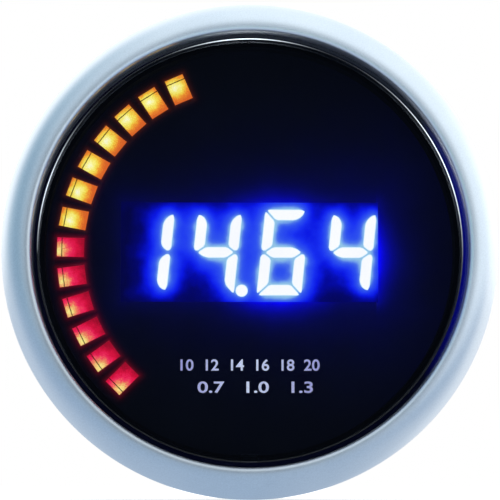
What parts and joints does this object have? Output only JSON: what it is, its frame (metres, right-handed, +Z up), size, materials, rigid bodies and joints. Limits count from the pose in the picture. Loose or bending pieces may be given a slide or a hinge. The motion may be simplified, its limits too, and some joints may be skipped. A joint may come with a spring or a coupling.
{
  "type": "air fuel ratio gauge",
  "caption": "Round panel gauge with a rounded silver bezel, a lit digital reading, an arc of amber and red warning lights, a black barrel and a rear clamp with thumb nuts.",
  "frame": {"origin": "on the gauge's axis, in the plane where the bezel's rear face rests on the panel", "axes": "+Y along the axis from the face to the rear, +Z up as the display is read, +X to the right as seen from the front"},
  "size_m": [0.058, 0.0618, 0.058],
  "materials": {
    "satin_silver": "satin cast, silver lacquer",
    "smoked_acrylic": "clear smoked acrylic, polished",
    "black_rubber": "moulded",
    "black_housing": "fine textured black",
    "black_ring": "matt black",
    "dial_black": "matt printed black",
    "light_box_white": "white moulded",
    "amber_light": "cast resin",
    "red_light": "cast resin",
    "display_black": "matt black face",
    "lit_segment": "diffusing resin, lit blue-white",
    "unlit_segment": "diffusing resin, unlit",
    "tinned_pin": "tinned",
    "circuit_board": "green solder mask",
    "black_chip": "moulded epoxy",
    "zinc_screw": "zinc plated",
    "brass_standoff": "machined",
    "crystal_can": "nickel lid",
    "capacitor_can": "drawn can",
    "resistor_body": "glazed",
    "black_connector": "moulded",
    "gilt_pin": "gold flash",
    "black_cover": "fine textured black",
    "black_screw": "black oxide",
    "zinc_stud": "zinc plated",
    "zinc_bracket": "pressed, zinc plated",
    "zinc_washer": "zinc plated",
    "brass_nut": "turned and ridged"
  },
  "bodies": {
    "gauge": {"bezel": "satin_silver", "lens": "smoked_acrylic", "lens_gasket": "black_rubber", "housing": "black_housing", "dial_spacer_ring": "black_ring", "dial_plate": "dial_black", "light_box": "light_box_white", "amber_leds": "amber_light", "red_leds": "red_light", "display_body": "display_black", "lit_segments": "lit_segment", "unlit_segments": "unlit_segment", "display_pins": "tinned_pin", "display_board": "circuit_board", "display_driver": "black_chip", "front_board_screws": "zinc_screw", "board_standoffs": "brass_standoff", "rear_board_screws": "zinc_screw", "main_board": "circuit_board", "microcontroller": "black_chip", "sensor_chip": "black_chip", "crystal": "crystal_can", "filter_capacitors": "capacitor_can", "chip_resistors": "resistor_body", "voltage_regulator": "black_chip", "heater_transistor": "black_chip", "link_socket": "black_connector", "link_header": "black_connector", "link_pins": "gilt_pin", "sensor_socket": "black_connector", "sensor_pins": "gilt_pin", "power_socket": "black_connector", "power_pins": "gilt_pin", "rear_cover": "black_cover", "rear_cover_screws": "black_screw", "mounting_studs": "zinc_stud", "stud_lock_nuts": "zinc_stud"},
    "clamp": {"clamp_bracket": "zinc_bracket", "spring_washers": "zinc_washer"},
    "left_nut": {"left_thumb_nut": "brass_nut"},
    "right_nut": {"right_thumb_nut": "brass_nut"}
  },
  "joints": [
    {"name": "clamp_slide", "type": "slide", "parent": "gauge", "child": "clamp", "axis": [0, -1, 0], "range_m": [-0.007, 0.0091]},
    {"name": "left_nut_turn", "type": "hinge", "parent": "clamp", "child": "left_nut", "pos_m": [-0.015, 0.048, 0], "axis": [0, -1, 0], "range_deg": [-3600, 4680]},
    {"name": "right_nut_turn", "type": "hinge", "parent": "clamp", "child": "right_nut", "pos_m": [0.015, 0.048, 0], "axis": [0, -1, 0], "range_deg": [-3600, 4680]}
  ],
  "couplings": [
    {"joint": "left_nut_turn", "follows": "clamp_slide", "rad_per_m": 8976},
    {"joint": "right_nut_turn", "follows": "clamp_slide", "rad_per_m": 8976}
  ]
}
